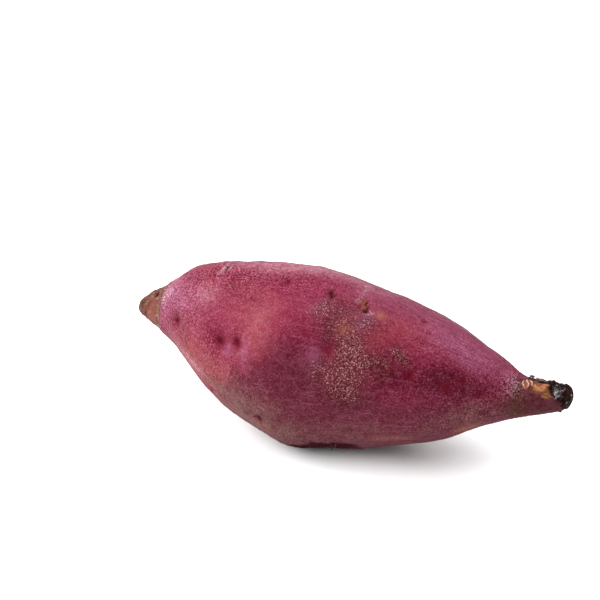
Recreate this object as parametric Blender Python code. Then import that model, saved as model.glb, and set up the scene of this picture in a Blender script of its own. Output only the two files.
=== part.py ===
"""A whole red-skinned sweet potato, roasted in its skin, lying on its belly.

Metres, +Z up. +X runs along the root from the pale stalk scar to the scorched tail, and -Y is its
better side. The origin is on the ground below the middle of the root's box.
"""

import bmesh
import bpy
import numpy as np

# Driving dimensions. Lengths are in millimetres and angles in degrees. A place on the skin is its
# distance from the stalk end, and its angle round the root: 0 at the back, 90 on top, 180 in front.
LENGTH = 170.0
GREATEST_HALF_THICKNESS = 33.0
FLAT_SPOT_DEPTH = 1.2

# Stations along the root: distance from the stalk end, then the half thickness as a share of the
# greatest, then how far the middle of the section lies below and in front of the line of the tips.
STATIONS = (
    (0.0, 0.064, 0.0),
    (5.5, 0.160, -1.4),
    (10.0, 0.235, -1.9),
    (14.0, 0.318, -2.1),
    (19.0, 0.442, -2.3),
    (30.0, 0.639, -0.7),
    (43.0, 0.803, 1.3),
    (57.0, 0.930, 2.6),
    (70.0, 0.996, 3.5),
    (85.0, 0.930, 3.0),
    (106.0, 0.792, 2.9),
    (127.0, 0.603, 2.5),
    (142.0, 0.373, 1.8),
    (151.0, 0.239, 2.0),
    (160.0, 0.180, 0.9),
    (170.0, 0.121, -0.5),
)
STALK_ROUNDING = 1.6
TAIL_ROUNDING = 3.2

# Eyes, where the fine roots grew, in rows along the root: distance, angle, length along the root,
# breadth round it, depth. The skin beside an eye stands up by EYE_BROW of the depth.
EYES = (
    (37.4, 91, 4.0, 3.0, 0.4),
    (65.5, 101, 4.0, 4.0, 0.5),
    (83.0, 101, 3.6, 5.5, 0.8),
    (94.7, 102, 4.2, 6.5, 1.1),
    (115.5, 91, 5.0, 5.0, 0.4),
    (23.4, 165, 7.0, 6.5, 1.2),
    (47.1, 157, 9.5, 8.5, 1.8),
    (54.9, 154, 6.5, 6.5, 1.2),
    (88.5, 143, 8.0, 10.0, 0.7),
    (108.1, 145, 5.0, 5.0, 0.5),
    (117.4, 148, 6.5, 7.0, 0.9),
    (129.4, 154, 6.5, 6.0, 0.7),
    (134.0, 144, 6.0, 5.0, 0.7),
    (140.0, 159, 6.0, 5.0, 0.6),
    (41.9, 209, 4.0, 4.0, 0.4),
    (65.2, 201, 4.5, 4.5, 0.6),
    (98.0, 205, 5.0, 5.0, 0.4),
    (30.0, 252, 6.0, 6.0, 0.9),
    (52.5, 246, 6.5, 6.5, 0.8),
    (104.0, 257, 6.5, 6.0, 1.1),
    (124.5, 250, 6.0, 5.5, 0.8),
    (26.5, 305, 7.0, 6.5, 1.1),
    (44.0, 312, 5.5, 6.0, 0.9),
    (71.5, 308, 8.0, 7.5, 1.5),
    (93.0, 315, 6.0, 6.5, 0.9),
    (119.0, 306, 7.0, 6.5, 1.1),
    (138.0, 311, 5.0, 4.5, 0.6),
    (34.5, 4, 7.0, 7.0, 1.2),
    (60.0, 358, 8.5, 8.0, 1.6),
    (67.0, 6, 6.0, 6.0, 1.0),
    (99.5, 1, 6.5, 7.0, 1.1),
    (127.0, 7, 6.5, 6.0, 0.9),
    (22.0, 51, 6.0, 5.5, 0.9),
    (49.5, 47, 6.0, 6.5, 0.8),
    (78.0, 55, 7.5, 7.0, 1.3),
    (108.5, 49, 6.0, 6.0, 0.9),
    (133.5, 53, 5.5, 5.0, 0.7),
)
EYE_BROW = 0.22

# Swellings and, where the height is negative, hollows: distance, angle, length, breadth, height.
SWELLINGS = (
    (53.0, 171, 17.0, 13.0, 0.8),
    (31.0, 168, 16.0, 14.0, 0.5),
    (136.0, 152, 34.0, 13.0, -1.0),
    (134.0, 121, 44.0, 12.0, 0.6),
    (96.0, 122, 26.0, 17.0, 0.5),
    (91.0, 141, 30.0, 14.0, -0.6),
    (74.0, 195, 40.0, 22.0, 0.5),
    (112.0, 190, 40.0, 13.0, -0.6),
    (79.0, 318, 38.0, 20.0, 0.9),
    (52.0, 336, 30.0, 12.0, -0.8),
    (110.0, 334, 44.0, 14.0, -0.9),
    (121.0, 20, 30.0, 15.0, 0.7),
    (67.0, 28, 44.0, 12.0, -0.7),
    (43.0, 70, 26.0, 16.0, 0.4),
    (91.0, 272, 42.0, 30.0, 1.8),
    (75.0, 238, 20.0, 20.0, 0.9),
)

# Slow waves of the whole skin: height at the greatest girth, length along the root of one wave,
# waves round the root, and where round the root it starts, in radians.
WAVES = (
    (0.35, 71.0, 2, 2.6),
    (0.25, 47.0, -3, 2.1),
    (0.15, 29.0, 5, 4.0),
)

# Skin torn off the tail's upper side, and the scorched crust on its end
TEAR = (157.0, 108, 11.0, 6.0, -0.6)
CRUST_START = 157.0
CRUST_FULL = 163.0
CRUST_LUMPS = (
    (0.34, 5.3, 3, 0.4),
    (0.30, 3.9, -4, 1.7),
    (0.24, 3.1, 6, 3.2),
)

# Mesh: rings along the root, sides round it, and how even the spacing of the rings is, from 0 as on
# a plain ball, whose rings crowd towards its poles, to 1 for rings all the same distance apart.
RINGS = 80
SEGMENTS = 60
EVENNESS = 0.3

MM = 0.001


def smooth_curve(places, values, at):
    """Cubic through the stations, with each slope taken from the two neighbouring stations."""
    places = np.asarray(places)
    values = np.asarray(values)
    slopes = np.gradient(values, places)
    k = np.clip(np.searchsorted(places, at) - 1, 0, len(places) - 2)
    span = places[k + 1] - places[k]
    t = (at - places[k]) / span
    start = values[k] * (1 + 2 * t) * (1 - t) ** 2 + slopes[k] * span * t * (1 - t) ** 2
    end = values[k + 1] * t * t * (3 - 2 * t) + slopes[k + 1] * span * t * t * (t - 1)
    return start + end


def rounded_end(distance, rounding):
    """1 away from an end, falling to 0 at it along a quarter circle."""
    short = np.clip(1 - distance / rounding, 0, 1)
    return np.sqrt(1 - short**2)


def closeness(along, angle, radius, spot):
    """1 at the middle of a spot on the skin, falling off as a bell over its length and breadth."""
    place, turn, length, breadth = spot[:4]
    round_by = (angle - np.radians(turn) + np.pi) % (2 * np.pi) - np.pi
    far = ((along - place) / (length / 2)) ** 2 + (round_by * radius / (breadth / 2)) ** 2
    return np.exp(-far)


def waves(along, angle, table):
    """Sum of sine waves that wind round the root."""
    total = np.zeros_like(along)
    for height, length, turns, start in table:
        total += height * np.sin(2 * np.pi * along / length + turns * angle + start)
    return total


def skin_points(along, angle):
    """Points of the skin in millimetres, from their distance along the root and their angle."""
    places, shares, bows = zip(*STATIONS)
    share = smooth_curve(places, shares, along)
    radius = GREATEST_HALF_THICKNESS * share
    relief = share * waves(along, angle, WAVES)
    for spot in SWELLINGS:
        relief += spot[4] * closeness(along, angle, radius, spot)
    for spot in EYES:
        near = closeness(along, angle, radius, spot)
        relief += spot[4] * (EYE_BROW * near**0.25 - (1 + EYE_BROW) * near)
    relief += TEAR[4] * closeness(along, angle, radius, TEAR)
    crust = np.clip((along - CRUST_START) / (CRUST_FULL - CRUST_START), 0, 1)
    relief += crust * waves(along, angle, CRUST_LUMPS)
    radius = radius + relief
    radius *= rounded_end(along, STALK_ROUNDING) * rounded_end(LENGTH - along, TAIL_ROUNDING)
    bow = smooth_curve(places, bows, along)
    y = radius * np.cos(angle) - bow
    z = radius * np.sin(angle) - bow
    return np.stack([along - LENGTH / 2, y, z], axis=1)


def clear_scene():
    for obj in list(bpy.data.objects):
        bpy.data.objects.remove(obj)


def skin_material():
    material = bpy.data.materials.new("roasted_skin")
    material.use_nodes = True
    shader = material.node_tree.nodes["Principled BSDF"]
    shader.inputs["Base Color"].default_value = (0.30, 0.05, 0.085, 1.0)
    shader.inputs["Roughness"].default_value = 0.55
    shader.inputs["Metallic"].default_value = 0.0
    return material


def sweet_potato():
    """A sphere whose poles are the two ends, drawn out to the root's own surface."""
    shape = bmesh.new()
    bmesh.ops.create_uvsphere(shape, u_segments=SEGMENTS, v_segments=RINGS, radius=1.0)
    ball = np.array([v.co for v in shape.verts])
    height = np.clip(ball[:, 2], -1, 1)
    by_angle = 1 - np.arccos(height) / np.pi
    by_height = (1 + height) / 2
    along = LENGTH * (by_height + EVENNESS * (by_angle - by_height))
    angle = np.arctan2(ball[:, 1], ball[:, 0])
    points = skin_points(along, angle)
    ground = points[:, 2].min() + FLAT_SPOT_DEPTH
    points[:, 2] = np.maximum(points[:, 2], ground)
    low = points.min(axis=0)
    high = points.max(axis=0)
    points -= [(low[0] + high[0]) / 2, (low[1] + high[1]) / 2, ground]
    for vertex, point in zip(shape.verts, points * MM):
        vertex.co = point
    mesh = bpy.data.meshes.new("sweet_potato")
    shape.to_mesh(mesh)
    shape.free()
    mesh.shade_smooth()
    mesh.materials.append(skin_material())
    return bpy.data.objects.new("sweet_potato", mesh)


def main():
    clear_scene()
    parts = bpy.data.collections.new("sweet potato")
    bpy.context.scene.collection.children.link(parts)
    parts.objects.link(sweet_potato())


main()
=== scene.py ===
"""The looks of a whole sweet potato, roasted in its skin, lying on a pale floor. Metres, +Z up.

A place on the root is its distance along it from the stalk end, in millimetres, and its angle round
it in degrees: 0 at the back, 90 on top, 180 in front and 270 underneath.
"""

import math

import bpy
import numpy as np
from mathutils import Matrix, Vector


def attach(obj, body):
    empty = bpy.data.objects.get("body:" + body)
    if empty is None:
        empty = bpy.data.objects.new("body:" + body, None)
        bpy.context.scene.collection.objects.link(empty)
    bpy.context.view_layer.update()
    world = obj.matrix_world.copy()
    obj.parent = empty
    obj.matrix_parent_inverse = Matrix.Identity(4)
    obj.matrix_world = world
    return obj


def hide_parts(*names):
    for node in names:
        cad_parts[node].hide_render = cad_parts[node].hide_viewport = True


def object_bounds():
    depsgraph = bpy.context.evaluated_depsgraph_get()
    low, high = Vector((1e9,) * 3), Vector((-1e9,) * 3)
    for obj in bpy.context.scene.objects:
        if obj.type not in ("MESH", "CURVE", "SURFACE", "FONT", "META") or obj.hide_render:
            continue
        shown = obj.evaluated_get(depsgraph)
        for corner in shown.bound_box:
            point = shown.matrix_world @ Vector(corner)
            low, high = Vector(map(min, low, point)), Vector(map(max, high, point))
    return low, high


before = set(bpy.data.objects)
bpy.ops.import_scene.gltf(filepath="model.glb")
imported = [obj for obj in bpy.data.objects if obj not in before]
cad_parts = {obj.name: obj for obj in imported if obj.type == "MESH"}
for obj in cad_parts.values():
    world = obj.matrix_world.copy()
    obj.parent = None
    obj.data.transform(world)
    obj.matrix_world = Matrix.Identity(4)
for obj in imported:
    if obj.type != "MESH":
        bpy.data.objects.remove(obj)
solid_box = [list(corner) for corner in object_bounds()]

# The skin
# A thin red-purple skin of cork cells, grown as one with the flesh. Roasting shrank it into fine
# lengthwise wrinkles and left pale corky grains. It is darker and browner underneath, and its eyes
# are wine-red, with painted shade in their pits.

MM = 0.001
LENGTH = (solid_box[1][0] - solid_box[0][0]) / MM
GREATEST_HALF_THICKNESS = 33.0
FLAT_SPOT_DEPTH = 1.2

# Distance from the stalk end, half thickness as a share of the greatest, and how far the middle of
# the section lies below and in front of the line of the tips: the solid's own stations.
STATIONS = (
    (0.0, 0.064, 0.0),
    (5.5, 0.160, -1.4),
    (10.0, 0.235, -1.9),
    (14.0, 0.318, -2.1),
    (19.0, 0.442, -2.3),
    (30.0, 0.639, -0.7),
    (43.0, 0.803, 1.3),
    (57.0, 0.930, 2.6),
    (70.0, 0.996, 3.5),
    (85.0, 0.930, 3.0),
    (106.0, 0.792, 2.9),
    (127.0, 0.603, 2.5),
    (142.0, 0.373, 1.8),
    (151.0, 0.239, 2.0),
    (160.0, 0.180, 0.9),
    (170.0, 0.121, -0.5),
)
STATION_PLACES, STATION_SHARES, STATION_BOWS = zip(*STATIONS)
STALK_ROUNDING = 1.6
TAIL_ROUNDING = 3.2

# The solid's eyes: distance, angle, length along the root, breadth round it, depth.
EYES = (
    (37.4, 91, 4.0, 3.0, 0.4),
    (65.5, 101, 4.0, 4.0, 0.5),
    (83.0, 101, 3.6, 5.5, 0.8),
    (94.7, 102, 4.2, 6.5, 1.1),
    (115.5, 91, 5.0, 5.0, 0.4),
    (23.4, 165, 7.0, 6.5, 1.2),
    (47.1, 157, 9.5, 8.5, 1.8),
    (54.9, 154, 6.5, 6.5, 1.2),
    (88.5, 143, 8.0, 10.0, 0.7),
    (108.1, 145, 5.0, 5.0, 0.5),
    (117.4, 148, 6.5, 7.0, 0.9),
    (129.4, 154, 6.5, 6.0, 0.7),
    (134.0, 144, 6.0, 5.0, 0.7),
    (140.0, 159, 6.0, 5.0, 0.6),
    (41.9, 209, 4.0, 4.0, 0.4),
    (65.2, 201, 4.5, 4.5, 0.6),
    (98.0, 205, 5.0, 5.0, 0.4),
    (30.0, 252, 6.0, 6.0, 0.9),
    (52.5, 246, 6.5, 6.5, 0.8),
    (104.0, 257, 6.5, 6.0, 1.1),
    (124.5, 250, 6.0, 5.5, 0.8),
    (26.5, 305, 7.0, 6.5, 1.1),
    (44.0, 312, 5.5, 6.0, 0.9),
    (71.5, 308, 8.0, 7.5, 1.5),
    (93.0, 315, 6.0, 6.5, 0.9),
    (119.0, 306, 7.0, 6.5, 1.1),
    (138.0, 311, 5.0, 4.5, 0.6),
    (34.5, 4, 7.0, 7.0, 1.2),
    (60.0, 358, 8.5, 8.0, 1.6),
    (67.0, 6, 6.0, 6.0, 1.0),
    (99.5, 1, 6.5, 7.0, 1.1),
    (127.0, 7, 6.5, 6.0, 0.9),
    (22.0, 51, 6.0, 5.5, 0.9),
    (49.5, 47, 6.0, 6.5, 0.8),
    (78.0, 55, 7.5, 7.0, 1.3),
    (108.5, 49, 6.0, 6.0, 0.9),
    (133.5, 53, 5.5, 5.0, 0.7),
)
EYE_BROW = 0.22

# Creases in the eyes, where fine roots died back, and in the stub, darkened by painted shade: distance,
# angle, length, breadth, depth, how dark its painted shade is from 0 to 1, and how far its ends bend towards
# the tail.
CREASES = (
    (37.4, 91, 1.3, 7.0, 0.45, 0.8, 0.3),
    (5.0, 196, 1.6, 4.0, 0.30, 0.6, 0.3),
    (6.6, 152, 1.2, 4.0, 0.30, 0.5, -0.2),
    (3.0, 168, 1.4, 3.0, 0.25, 0.5, 0.2),
    (65.2, 99.5, 1.6, 2.2, 0.35, 0.9, 0.0),
    (82.2, 100.5, 1.4, 2.8, 0.80, 1.1, 0.0),
    (83.2, 104.5, 1.4, 2.8, 0.80, 1.1, 0.0),
    (84.2, 102.0, 1.0, 2.6, 0.50, 0.7, 0.0),
    (94.8, 98.0, 1.0, 3.4, 0.60, 0.9, 0.0),
    (96.0, 102.5, 1.0, 3.4, 0.70, 1.0, 0.0),
    (96.2, 107.0, 2.4, 2.4, 0.90, 1.1, 0.0),
    (92.7, 99.5, 0.8, 3.0, 0.30, 0.4, 0.0),
    (93.7, 104.5, 0.9, 3.0, 0.40, 0.5, 0.0),
    (115.5, 91, 1.8, 2.6, 0.25, 0.6, 0.2),
    (23.2, 166.5, 1.6, 3.0, 0.40, 0.7, 0.2),
    (46.2, 157.5, 2.6, 2.8, 0.80, 0.7, 0.2),
    (54.6, 152.5, 1.8, 2.6, 0.60, 0.55, 0.2),
    (59.1, 150.5, 1.2, 1.6, 0.20, 0.5, 0.0),
    (108.1, 147, 1.6, 2.0, 0.30, 0.6, 0.0),
    (117.2, 148, 2.0, 2.6, 0.50, 0.7, 0.2),
    (129.8, 154, 1.8, 2.4, 0.25, 0.6, 0.2),
    (134.2, 144, 1.8, 2.2, 0.25, 0.5, 0.0),
    (140.2, 159, 1.8, 2.2, 0.20, 0.5, 0.0),
    (41.9, 209, 1.6, 3.0, 0.30, 0.7, 0.3),
    (65.2, 201, 1.7, 4.6, 0.60, 1.0, 0.4),
    (98.0, 205, 1.6, 2.6, 0.20, 0.6, 0.0),
    (30.3, 252, 2.0, 3.6, 0.45, 0.9, 0.2),
    (52.8, 246, 1.8, 4.8, 0.50, 0.9, 0.3),
    (104.3, 257, 2.2, 4.0, 0.60, 0.9, 0.2),
    (124.7, 250, 1.8, 3.4, 0.40, 0.8, 0.3),
    (26.9, 305, 2.2, 4.0, 0.50, 0.9, 0.2),
    (44.3, 312, 1.8, 5.0, 0.60, 1.0, 0.3),
    (72.0, 308, 2.6, 4.0, 0.80, 1.0, 0.2),
    (93.3, 315, 1.8, 4.8, 0.60, 1.0, 0.4),
    (119.4, 306, 2.2, 3.8, 0.60, 0.9, 0.2),
    (138.2, 311, 1.7, 3.0, 0.30, 0.8, 0.2),
    (35.0, 4, 2.4, 3.8, 0.60, 0.9, 0.2),
    (60.6, 358, 2.6, 4.0, 0.70, 1.0, 0.2),
    (67.3, 6, 1.8, 3.6, 0.50, 0.9, 0.3),
    (99.9, 1, 2.0, 4.8, 0.60, 1.0, 0.3),
    (127.2, 7, 2.0, 3.4, 0.40, 0.8, 0.2),
    (22.3, 51, 1.8, 3.4, 0.40, 0.8, 0.2),
    (49.7, 47, 1.8, 4.8, 0.50, 1.0, 0.3),
    (78.4, 55, 2.6, 3.8, 0.70, 1.0, 0.2),
    (108.7, 49, 1.8, 4.6, 0.50, 0.9, 0.3),
    (133.7, 53, 1.7, 3.2, 0.30, 0.8, 0.2),
)

# The solid's swellings and hollows: distance, angle, length, breadth, height.
SWELLINGS = (
    (53.0, 171, 17.0, 13.0, 0.8),
    (31.0, 168, 16.0, 14.0, 0.5),
    (136.0, 152, 34.0, 13.0, -1.0),
    (134.0, 121, 44.0, 12.0, 0.6),
    (96.0, 122, 26.0, 17.0, 0.5),
    (91.0, 141, 30.0, 14.0, -0.6),
    (74.0, 195, 40.0, 22.0, 0.5),
    (112.0, 190, 40.0, 13.0, -0.6),
    (79.0, 318, 38.0, 20.0, 0.9),
    (52.0, 336, 30.0, 12.0, -0.8),
    (110.0, 334, 44.0, 14.0, -0.9),
    (121.0, 20, 30.0, 15.0, 0.7),
    (67.0, 28, 44.0, 12.0, -0.7),
    (43.0, 70, 26.0, 16.0, 0.4),
    (91.0, 272, 42.0, 30.0, 1.8),
    (75.0, 238, 20.0, 20.0, 0.9),
)

# Slow waves: height, length of one wave, waves round the root, and where they start in radians.
WAVES = (
    (0.35, 71.0, 2, 2.6),
    (0.25, 47.0, -3, 2.1),
    (0.15, 29.0, 5, 4.0),
)

# The hollow where skin tore off near the tail, as in the solid: distance, angle, length, breadth, height.
TEAR = (157.0, 108, 11.0, 6.0, -0.6)

# Where the black crust begins at each angle round the tail, in millimetres from the stalk end.
CRUST_EDGE = (
    (0, 162.5),
    (40, 161.0),
    (62, 159.6),
    (80, 161.0),
    (100, 161.8),
    (120, 162.6),
    (140, 163.8),
    (155, 165.2),
    (168, 167.2),
    (182, 168.0),
    (200, 167.8),
    (225, 167.6),
    (255, 165.6),
    (300, 164.0),
    (360, 162.5),
)

SKIN_ROWS = 352
SKIN_COLUMNS = 280
EVENNESS = 0.6
END_MARGIN = 0.3
SURVEY_ROWS = 341
NOISE_PERIOD = 64


def smooth_curve(places, values, at):
    """Cubic through the stations, with each slope taken from the two neighbouring stations."""
    places = np.asarray(places)
    values = np.asarray(values)
    slopes = np.gradient(values, places)
    k = np.clip(np.searchsorted(places, at) - 1, 0, len(places) - 2)
    span = places[k + 1] - places[k]
    t = (at - places[k]) / span
    start = values[k] * (1 + 2 * t) * (1 - t) ** 2 + slopes[k] * span * t * (1 - t) ** 2
    end = values[k + 1] * t * t * (3 - 2 * t) + slopes[k + 1] * span * t * t * (t - 1)
    return start + end


def eased(value, low, high):
    """0 below low, 1 above high, and an S-curve between them."""
    t = np.clip((value - low) / (high - low), 0, 1)
    return t * t * (3 - 2 * t)


def closeness(along, angle, radius, spot, bend=0.0):
    """1 at the middle of a spot, falling as a bell over its length and breadth.

    The spot's middle line is a parabola round the root, whose ends lean towards the tail by bend.
    """
    place, turn, length, breadth = spot[:4]
    across = ((angle - np.radians(turn) + np.pi) % (2 * np.pi) - np.pi) * radius
    lengthwise = along - place - bend * across**2 / breadth
    return np.exp(-((lengthwise / (length / 2)) ** 2) - (across / (breadth / 2)) ** 2)


def patches(along, angle, radius, table):
    """Sum of bells, each times its own strength, held between 0 and 1."""
    return np.clip(sum(spot[4] * closeness(along, angle, radius, spot) for spot in table), 0, 1)


def noise(points, grain, seed):
    """Random values from -1 to 1 on a cubic lattice of that grain, eased between its corners."""
    lattice = np.random.default_rng(seed).uniform(-1, 1, (NOISE_PERIOD,) * 3)
    scaled = points / grain
    cell = np.floor(scaled).astype(int)
    t = eased(scaled - cell, 0, 1)
    total = np.zeros(points.shape[:-1])
    for corner in np.ndindex(2, 2, 2):
        share = np.prod(np.where(corner, t, 1 - t), axis=-1)
        x, y, z = np.moveaxis((cell + corner) % NOISE_PERIOD, -1, 0)
        total += share * lattice[x, y, z]
    return total


def uneven(points, *terms):
    """Sum of noises, each term its height, its grain in millimetres and its random seed."""
    return sum(height * noise(points, grain, seed) for height, grain, seed in terms)


def plain_radius(along):
    """Half thickness at a distance, through the stations alone."""
    return GREATEST_HALF_THICKNESS * smooth_curve(STATION_PLACES, STATION_SHARES, along)


def main_radius(along, angle):
    """Radius as the solid has it, without its crust: stations, plus waves, swellings, eyes and tear."""
    radius = plain_radius(along)
    relief = 0
    for height, length, turns, start in WAVES:
        wave = np.sin(2 * np.pi * along / length + turns * angle + start)
        relief = relief + height * radius / GREATEST_HALF_THICKNESS * wave
    for spot in SWELLINGS:
        relief = relief + spot[4] * closeness(along, angle, radius, spot)
    for spot in EYES:
        near = closeness(along, angle, radius, spot)
        relief = relief + spot[4] * (EYE_BROW * near**0.25 - (1 + EYE_BROW) * near)
    return radius + relief + TEAR[4] * closeness(along, angle, radius, TEAR)


def placed(along, angle, radius):
    """Points in metres at a radius from the root's bowed middle line, each end drawn in to a round."""
    bow = smooth_curve(STATION_PLACES, STATION_BOWS, along)
    near_stalk = np.clip(1 - along / STALK_ROUNDING, 0, 1)
    near_tail = np.clip(1 - (LENGTH - along) / TAIL_ROUNDING, 0, 1)
    radius = radius * np.sqrt((1 - near_stalk**2) * (1 - near_tail**2))
    across = np.stack([radius * np.cos(angle) - bow, radius * np.sin(angle) - bow], axis=-1)
    points = np.concatenate([(along - LENGTH / 2)[..., None], across], axis=-1)
    return (points + root_shift) * MM


def full_turn(count):
    """Angles in radians, evenly spaced round a full turn."""
    return np.linspace(0, 2 * np.pi, count, endpoint=False)


def crowded(start, end, count, evenness):
    """Distances from start to end, between evenly spaced and crowded at both ends as on a ball."""
    t = np.linspace(0, 1, count)
    return start + (end - start) * (evenness * t + (1 - evenness) * (1 - np.cos(np.pi * t)) / 2)


def tubes_mesh(name, tubes):
    """Mesh of closed tubes, each a grid of rings of points, with both its ends drawn to a point.

    Seen along the tube, each ring runs from the first side to the second: X, then from Y to Z.
    """
    vertices = []
    faces = []
    first = 0
    for points in tubes:
        rows, columns = points.shape[:2]
        ring = np.arange(columns)
        following = (ring + 1) % columns
        starts = first + columns * np.arange(rows - 1)[:, None]
        sides = [starts + ring, starts + following, starts + columns + following, starts + columns + ring]
        faces += np.stack(sides, axis=-1).reshape(-1, 4).tolist()
        near_tip = first + rows * columns
        last = near_tip - columns
        faces += np.stack([first + following, first + ring, np.full(columns, near_tip)], axis=-1).tolist()
        faces += np.stack([last + ring, last + following, np.full(columns, near_tip + 1)], axis=-1).tolist()
        vertices += [points.reshape(-1, 3), points[0].mean(axis=0)[None], points[-1].mean(axis=0)[None]]
        first = near_tip + 2
    mesh = bpy.data.meshes.new(name)
    mesh.from_pydata(np.concatenate(vertices), [], faces)
    mesh.shade_smooth()
    return mesh


def with_tips(grid):
    """A tube's values in the order of its mesh: its grid's, then each tip's, as beside it on the grid."""
    return np.concatenate([grid.reshape(-1, *grid.shape[2:]), grid[0, :1], grid[-1, :1]])


def add_piece(name, mesh, material):
    """A finished piece of the root: it rides on the root and takes the finish it is given."""
    piece = bpy.data.objects.new(name, mesh)
    bpy.context.scene.collection.objects.link(piece)
    mesh.materials.append(material)
    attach(piece, "root")
    return piece


# The solid stands on its flat spot, with the middle of its box at the origin. Its lowest point and
# its sides are found on the bare form, before the fine relief.
root_shift = np.zeros(3)
survey_grid = np.meshgrid(np.linspace(0, LENGTH, SURVEY_ROWS), np.radians(np.arange(360)), indexing="ij")
survey = placed(*survey_grid, main_radius(*survey_grid)) / MM
root_shift = -np.array([
    0.0,
    (survey[..., 1].min() + survey[..., 1].max()) / 2,
    survey[..., 2].min() + FLAT_SPOT_DEPTH,
])

along, angle = np.meshgrid(
    crowded(END_MARGIN, LENGTH - END_MARGIN, SKIN_ROWS, EVENNESS),
    full_turn(SKIN_COLUMNS),
    indexing="ij",
)
girth = plain_radius(along)
bare = placed(along, angle, main_radius(along, angle)) / MM

# A plain cylinder's coordinates, in millimetres, on which a pattern follows the root's length.
CYLINDER_RADIUS = 25.0
cylinder = np.stack([along, CYLINDER_RADIUS * np.cos(angle), CYLINDER_RADIUS * np.sin(angle)], axis=-1)

# Colour zones of the skin, each a table of distance, angle, length, breadth, strength.
# Pale waxy bloom, in part painted sheen, with painted highlights beside the twin eyes.
BLOOM_AND_SHEEN = (
    (16.0, 141, 6.0, 18.0, 0.8),
    (22.0, 140, 9.0, 12.0, 0.9),
    (29.0, 132, 10.0, 9.0, 0.5),
    (18.5, 110, 10.0, 12.0, 0.4),
    (37.0, 98, 3.0, 8.0, 0.5),
    (49.6, 162, 5.0, 5.0, 0.9),
    (57.0, 158, 5.0, 9.0, 0.8),
    (85.4, 149, 6.0, 11.0, 0.6),
    (81.5, 116, 10.0, 9.0, 0.4),
    (97.0, 114, 6.0, 8.0, 0.9),
    (97.0, 94, 16.0, 8.0, 0.4),
    (122.0, 104, 26.0, 8.0, 0.25),
    (137.0, 113, 24.0, 9.0, 0.5),
    (130.0, 97, 22.0, 8.0, 0.4),
    (120.0, 80, 50.0, 16.0, 0.6),
    (60.0, 20, 90.0, 26.0, 0.5),
    (112.0, 30, 60.0, 20.0, 0.5),
    (30.0, 320, 30.0, 20.0, 0.4),
)
# Dusty pale pink, mostly along the top edge: a dusty bloom with painted rim sheen on it.
DUSTY_SHEEN = (
    (53.0, 78, 32.0, 11.0, 0.8),
    (76.0, 76, 44.0, 11.0, 1.0),
    (34.0, 124, 12.0, 10.0, 0.7),
    (60.0, 137, 12.0, 18.0, 0.25),
    (27.0, 152, 16.0, 18.0, 0.12),
    (36.0, 176, 16.0, 16.0, 0.1),
    (68.0, 40, 60.0, 16.0, 0.5),
)
CORAL = (
    (40.0, 204, 34.0, 26.0, 1.0),
    (32.0, 184, 14.0, 14.0, 0.8),
    (50.0, 186, 22.0, 16.0, 0.7),
    (60.0, 140, 18.0, 26.0, 0.9),
    (110.0, 112, 22.0, 12.0, 0.6),
    (104.0, 128, 14.0, 9.0, 0.6),
    (36.0, 112, 18.0, 14.0, 0.4),
    (45.0, 20, 30.0, 22.0, 0.5),
    (96.0, 345, 34.0, 20.0, 0.5),
)
CRIMSON = (
    (80.0, 132, 16.0, 16.0, 0.6),
    (78.0, 146, 14.0, 16.0, 0.7),
    (43.6, 155, 10.0, 8.0, 0.9),
    (54.4, 152, 5.0, 6.0, 1.0),
    (22.2, 165.5, 7.0, 8.0, 1.0),
    (27.0, 172, 6.0, 10.0, 0.7),
    (58.0, 124, 10.0, 6.0, 0.5),
    (64.0, 101, 14.0, 10.0, 0.7),
    (117.0, 148, 9.0, 8.0, 0.8),
    (112.0, 124, 14.0, 6.0, 0.5),
    (104.0, 95, 16.0, 5.0, 0.5),
    (24.0, 112, 10.0, 7.0, 0.6),
    (60.0, 352, 26.0, 18.0, 0.7),
    (80.0, 40, 26.0, 16.0, 0.6),
)
WINE = (
    (88.0, 138, 4.5, 13.0, 0.9),
    (82.0, 165, 22.0, 9.0, 0.4),
    (108.0, 152, 12.0, 12.0, 0.8),
    (122.0, 150, 24.0, 12.0, 0.7),
    (134.0, 152, 32.0, 13.0, 1.0),
    (108.0, 172, 14.0, 6.0, 0.6),
    (116.0, 82, 34.0, 12.0, 0.25),
    (124.0, 113, 26.0, 12.0, 0.25),
    (110.0, 5, 34.0, 18.0, 0.6),
)
SPECKLE = (
    (90.5, 121, 20.0, 17.0, 0.8),
    (83.0, 113, 8.0, 7.0, 0.4),
    (80.5, 120, 6.0, 8.0, 0.4),
    (99.0, 114, 6.0, 7.0, 0.4),
    (97.0, 138, 13.0, 11.0, 0.8),
    (96.0, 156, 20.0, 16.0, 0.95),
    (86.0, 158, 7.0, 7.0, 0.4),
    (95.5, 172, 13.0, 8.0, 0.5),
    (112.5, 135, 7.0, 5.0, 1.0),
    (109.0, 147, 5.0, 4.5, 0.8),
    (104.5, 142, 6.0, 5.0, 0.5),
    (48.0, 112, 18.0, 12.0, 0.3),
    (66.0, 203, 32.0, 18.0, 0.25),
    (36.0, 224, 18.0, 8.0, 0.5),
    (70.0, 15, 24.0, 24.0, 0.7),
    (88.0, 290, 30.0, 24.0, 0.7),
)
SCUFF = (
    (101.6, 106.5, 3.8, 3.2, 1.0),
    (92.3, 126.5, 5.5, 5.0, 0.5),
    (111.0, 216, 12.0, 4.0, 0.7),
    (136.0, 222, 8.0, 4.0, 0.9),
    (52.0, 212, 14.0, 5.0, 0.5),
    (66.0, 205, 8.0, 3.0, 0.5),
    (82.0, 268, 30.0, 18.0, 0.5),
    (120.0, 320, 14.0, 5.0, 0.7),
    (48.0, 300, 10.0, 5.0, 0.6),
)
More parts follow.
